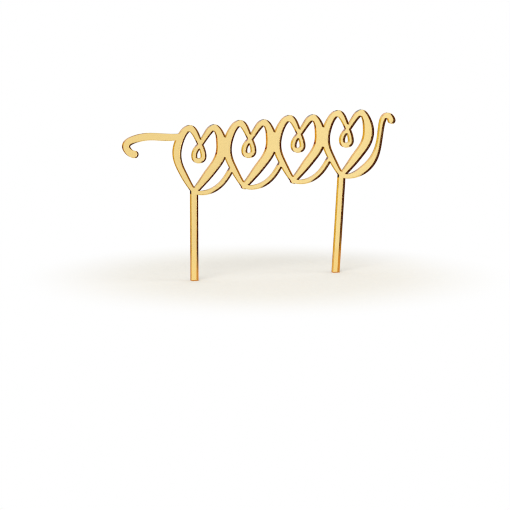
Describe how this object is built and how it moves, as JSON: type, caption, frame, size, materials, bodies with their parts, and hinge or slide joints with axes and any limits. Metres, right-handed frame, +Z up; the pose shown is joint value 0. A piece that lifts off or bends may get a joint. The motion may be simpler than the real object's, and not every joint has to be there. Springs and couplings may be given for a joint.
{
  "type": "cake topper",
  "caption": "Gold mirror acrylic cake topper: an openwork row of linked calligraphic hearts with a swash at each end, on flat pointed stakes.",
  "frame": {"origin": "cake line, the height to which the stakes are pushed in, midway between the stakes and halfway through the sheet", "axes": "+X along the row of hearts to the right as seen from the front, +Y through the sheet towards its coated back, +Z up"},
  "size_m": [0.1703, 0.003, 0.1499],
  "materials": {
    "gold_acrylic": "gold-tinted clear acrylic, polished face, laser-cut edges",
    "mirror_film": "bright metallised film, seen through the acrylic",
    "back_coat": "matt protective lacquer, warm grey"
  },
  "bodies": {
    "root": {"acrylic_plate": "gold_acrylic", "mirror_film": "mirror_film", "back_coat": "back_coat"}
  },
  "joints": []
}
